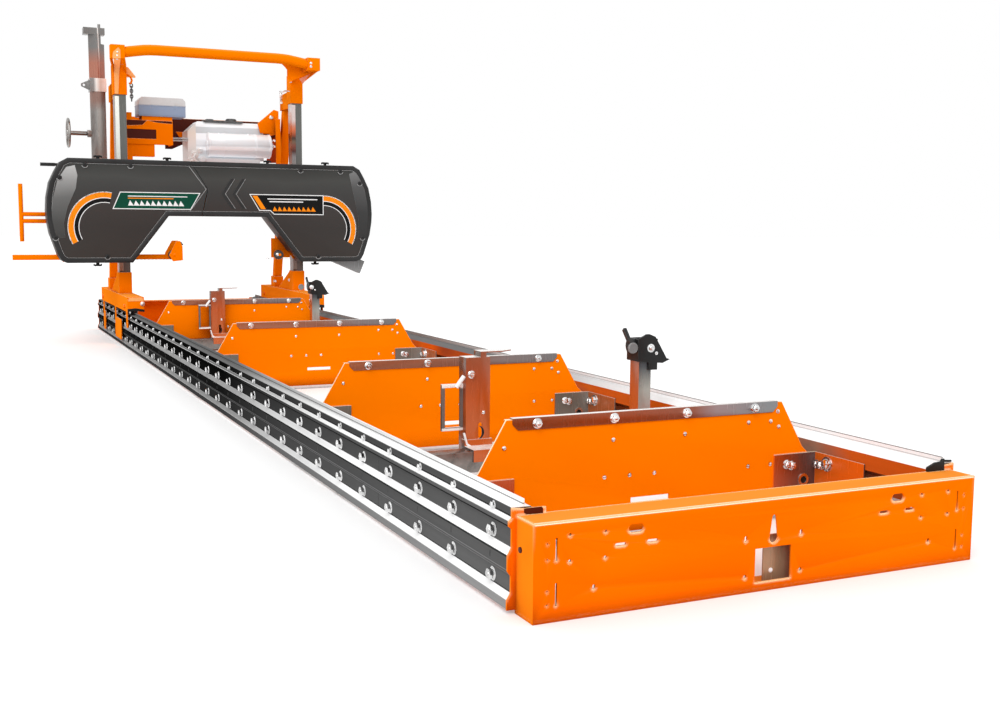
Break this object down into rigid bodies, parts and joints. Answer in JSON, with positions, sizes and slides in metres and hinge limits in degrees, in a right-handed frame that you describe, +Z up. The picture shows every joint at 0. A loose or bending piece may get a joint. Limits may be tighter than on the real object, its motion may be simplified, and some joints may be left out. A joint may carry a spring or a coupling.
{
  "type": "portable band sawmill",
  "caption": "Portable band sawmill: a bolted log track with bunks, log stops and dogs, and a wheeled carriage whose two masts carry a liftable band saw head.",
  "frame": {"origin": "middle of the bounding box on the ground, under the track", "axes": "+X across the track to the right as seen from its loading end, +Y along the track towards the parked carriage, +Z up"},
  "size_m": [2.11, 6.7, 1.887],
  "materials": {
    "orange_paint": "gloss powder coat",
    "galvanised_steel": "galvanised",
    "machined_steel": "zinc plated",
    "stainless_steel": "brushed",
    "zinc_steel": "satin",
    "cast_iron": "satin",
    "blade_steel": "bright",
    "charcoal_cover": "satin",
    "black_paint": "satin",
    "black_plastic": "matte",
    "engine_silver": "satin",
    "filter_plastic": "satin",
    "belt_rubber": "matte"
  },
  "bodies": {
    "track": {"front_crossmember": "orange_paint", "rear_crossmember": "orange_paint", "left_rail": "galvanised_steel", "right_rail": "galvanised_steel", "bunk_1": "orange_paint", "bunk_2": "orange_paint", "bunk_3": "orange_paint", "bunk_4": "orange_paint", "bunk_strip_1": "stainless_steel", "bunk_strip_2": "stainless_steel", "bunk_strip_3": "stainless_steel", "bunk_strip_4": "stainless_steel", "cross_tube_1": "galvanised_steel", "cross_tube_2": "galvanised_steel"},
    "carriage": {"carriage_base_left": "orange_paint", "carriage_base_right": "orange_paint", "mast_left": "stainless_steel", "mast_right": "stainless_steel", "mast_cap_left": "orange_paint", "mast_cap_right": "orange_paint", "crossbar": "orange_paint"},
    "head": {"head_frame": "orange_paint", "engine": "engine_silver", "air_filter": "filter_plastic", "lift_column": "zinc_steel", "blade": "blade_steel", "drive_belt": "belt_rubber", "push_handle": "orange_paint", "chute": "zinc_steel"},
    "blade_guide_arm": {"guide_bar": "orange_paint"},
    "roller_front_left": {"track_roller_front_left": "machined_steel"},
    "roller_rear_left": {"track_roller_rear_left": "machined_steel"},
    "roller_front_right": {"track_roller_front_right": "machined_steel"},
    "roller_rear_right": {"track_roller_rear_right": "machined_steel"},
    "lift_wheel": {"hand_wheel": "machined_steel"},
    "drive_band_wheel": {"drive_wheel": "cast_iron"},
    "tension_block": {"idler_slide": "machined_steel"},
    "idler_band_wheel": {"idler_wheel": "cast_iron"},
    "crank_pulley": {"engine_pulley": "machined_steel"},
    "tension_handle": {"tension_lever": "black_paint"},
    "guide_wheel_left": {"guide_roller_left": "machined_steel"},
    "guide_wheel_right": {"guide_roller_right": "machined_steel"},
    "left_cover": {"cover_left": "charcoal_cover"},
    "right_cover": {"cover_right": "charcoal_cover"},
    "knob_1": {"cover_knob_1": "black_plastic"},
    "knob_2": {"cover_knob_2": "black_plastic"},
    "knob_3": {"cover_knob_3": "black_plastic"},
    "knob_4": {"cover_knob_4": "black_plastic"},
    "knob_5": {"cover_knob_5": "black_plastic"},
    "knob_6": {"cover_knob_6": "black_plastic"},
    "stop_saddle_1": {"stop_slide_1": "galvanised_steel"},
    "stop_1": {"log_stop_1": "galvanised_steel"},
    "dog_1": {"dog_post_1": "galvanised_steel"},
    "dog_clamp_1": {"dog_head_1": "black_paint"},
    "dog_cam_1": {"dog_lever_1": "black_paint"},
    "stop_saddle_2": {"stop_slide_2": "galvanised_steel"},
    "stop_2": {"log_stop_2": "galvanised_steel"},
    "dog_2": {"dog_post_2": "galvanised_steel"},
    "dog_clamp_2": {"dog_head_2": "black_paint"},
    "dog_cam_2": {"dog_lever_2": "black_paint"}
  },
  "joints": [
    {"name": "carriage_travel", "type": "slide", "parent": "track", "child": "carriage", "axis": [0, 1, 0], "range_m": [-4.9, 0.3]},
    {"name": "head_lift", "type": "slide", "parent": "carriage", "child": "head", "axis": [0, 0, 1], "range_m": [-0.18, 0.44]},
    {"name": "roller_front_left_spin", "type": "hinge", "parent": "carriage", "child": "roller_front_left", "pos_m": [-0.437, 1.805, 0.2533], "axis": [1, 0, 0], "continuous": true},
    {"name": "roller_rear_left_spin", "type": "hinge", "parent": "carriage", "child": "roller_rear_left", "pos_m": [-0.437, 2.815, 0.2533], "axis": [1, 0, 0], "continuous": true},
    {"name": "roller_front_right_spin", "type": "hinge", "parent": "carriage", "child": "roller_front_right", "pos_m": [0.617, 1.805, 0.2533], "axis": [1, 0, 0], "continuous": true},
    {"name": "roller_rear_right_spin", "type": "hinge", "parent": "carriage", "child": "roller_rear_right", "pos_m": [0.617, 2.815, 0.2533], "axis": [1, 0, 0], "continuous": true},
    {"name": "hand_wheel_turn", "type": "hinge", "parent": "head", "child": "lift_wheel", "pos_m": [-0.718, 2.25, 1.251], "axis": [1, 0, 0], "continuous": true},
    {"name": "drive_wheel_spin", "type": "hinge", "parent": "head", "child": "drive_band_wheel", "pos_m": [0.755, 2.035, 0.756], "axis": [0, 1, 0], "continuous": true},
    {"name": "tension_slide", "type": "slide", "parent": "head", "child": "tension_block", "axis": [1, 0, 0], "range_m": [0, 0.012]},
    {"name": "idler_wheel_spin", "type": "hinge", "parent": "tension_block", "child": "idler_band_wheel", "pos_m": [-0.575, 2.035, 0.756], "axis": [0, 1, 0], "continuous": true},
    {"name": "engine_pulley_spin", "type": "hinge", "parent": "head", "child": "crank_pulley", "pos_m": [0.42, 2.2275, 1.01], "axis": [0, 1, 0], "continuous": true},
    {"name": "tension_lever_turn", "type": "hinge", "parent": "head", "child": "tension_handle", "pos_m": [-0.63, 2.102, 1.058], "axis": [0, 1, 0], "range_deg": [-1, 61]},
    {"name": "guide_arm_slide", "type": "slide", "parent": "head", "child": "blade_guide_arm", "axis": [1, 0, 0], "range_m": [-0.12, 0.2]},
    {"name": "guide_roller_left_spin", "type": "hinge", "parent": "blade_guide_arm", "child": "guide_wheel_left", "pos_m": [-0.165, 2.035, 0.53918], "axis": [0, 1, 0], "continuous": true},
    {"name": "guide_roller_right_spin", "type": "hinge", "parent": "head", "child": "guide_wheel_right", "pos_m": [0.475, 2.035, 0.53918], "axis": [0, 1, 0], "continuous": true},
    {"name": "cover_left_off", "type": "slide", "parent": "head", "child": "left_cover", "axis": [0, -1, 0], "range_m": [0, 0.25]},
    {"name": "cover_right_off", "type": "slide", "parent": "head", "child": "right_cover", "axis": [0, -1, 0], "range_m": [0, 0.25]},
    {"name": "knob_1_turn", "type": "hinge", "parent": "left_cover", "child": "knob_1", "pos_m": [-0.583, 2.025, 1.1], "axis": [0, 0, 1], "continuous": true},
    {"name": "knob_2_turn", "type": "hinge", "parent": "left_cover", "child": "knob_2", "pos_m": [-0.192, 2.025, 1.1], "axis": [0, 0, 1], "continuous": true},
    {"name": "knob_3_turn", "type": "hinge", "parent": "right_cover", "child": "knob_3", "pos_m": [0.407, 2.025, 1.1], "axis": [0, 0, 1], "continuous": true},
    {"name": "knob_4_turn", "type": "hinge", "parent": "right_cover", "child": "knob_4", "pos_m": [0.771, 2.025, 1.1], "axis": [0, 0, 1], "continuous": true},
    {"name": "knob_5_turn", "type": "hinge", "parent": "left_cover", "child": "knob_5", "pos_m": [-0.6, 2.025, 0.49], "axis": [0, 0, 1], "continuous": true},
    {"name": "knob_6_turn", "type": "hinge", "parent": "right_cover", "child": "knob_6", "pos_m": [0.701, 2.025, 0.49], "axis": [0, 0, 1], "continuous": true},
    {"name": "stop_1_across", "type": "slide", "parent": "track", "child": "stop_saddle_1", "axis": [1, 0, 0], "range_m": [-0.25, 0.15]},
    {"name": "stop_1_height", "type": "slide", "parent": "stop_saddle_1", "child": "stop_1", "axis": [0, 0, 1], "range_m": [-0.07, 0]},
    {"name": "dog_1_across", "type": "slide", "parent": "track", "child": "dog_1", "axis": [1, 0, 0], "range_m": [-0.22, 0.04]},
    {"name": "dog_1_height", "type": "slide", "parent": "dog_1", "child": "dog_clamp_1", "axis": [0, 0, 1], "range_m": [-0.13, 0]},
    {"name": "dog_1_lever_turn", "type": "hinge", "parent": "dog_clamp_1", "child": "dog_cam_1", "pos_m": [0.4194, -2.2453, 0.38], "axis": [1, 0, 0], "range_deg": [-40, 60]},
    {"name": "stop_2_across", "type": "slide", "parent": "track", "child": "stop_saddle_2", "axis": [1, 0, 0], "range_m": [-0.25, 0.15]},
    {"name": "stop_2_height", "type": "slide", "parent": "stop_saddle_2", "child": "stop_2", "axis": [0, 0, 1], "range_m": [-0.07, 0]},
    {"name": "dog_2_across", "type": "slide", "parent": "track", "child": "dog_2", "axis": [1, 0, 0], "range_m": [-0.22, 0.04]},
    {"name": "dog_2_height", "type": "slide", "parent": "dog_2", "child": "dog_clamp_2", "axis": [0, 0, 1], "range_m": [-0.13, 0]},
    {"name": "dog_2_lever_turn", "type": "hinge", "parent": "dog_clamp_2", "child": "dog_cam_2", "pos_m": [0.4584, 1.3247, 0.38], "axis": [1, 0, 0], "range_deg": [-40, 60]}
  ],
  "couplings": [
    {"joint": "roller_front_left_spin", "follows": "carriage_travel", "rad_per_m": -30.303},
    {"joint": "roller_rear_left_spin", "follows": "carriage_travel", "rad_per_m": -30.303},
    {"joint": "roller_front_right_spin", "follows": "carriage_travel", "rad_per_m": -30.303},
    {"joint": "roller_rear_right_spin", "follows": "carriage_travel", "rad_per_m": -30.303},
    {"joint": "hand_wheel_turn", "follows": "head_lift", "rad_per_m": 125.66},
    {"joint": "idler_wheel_spin", "follows": "drive_wheel_spin", "ratio": 1},
    {"joint": "engine_pulley_spin", "follows": "drive_wheel_spin", "ratio": 2.5455},
    {"joint": "tension_lever_turn", "follows": "tension_slide", "rad_per_m": 87.27},
    {"joint": "guide_roller_left_spin", "follows": "drive_wheel_spin", "ratio": 9.652},
    {"joint": "guide_roller_right_spin", "follows": "drive_wheel_spin", "ratio": 9.652}
  ]
}
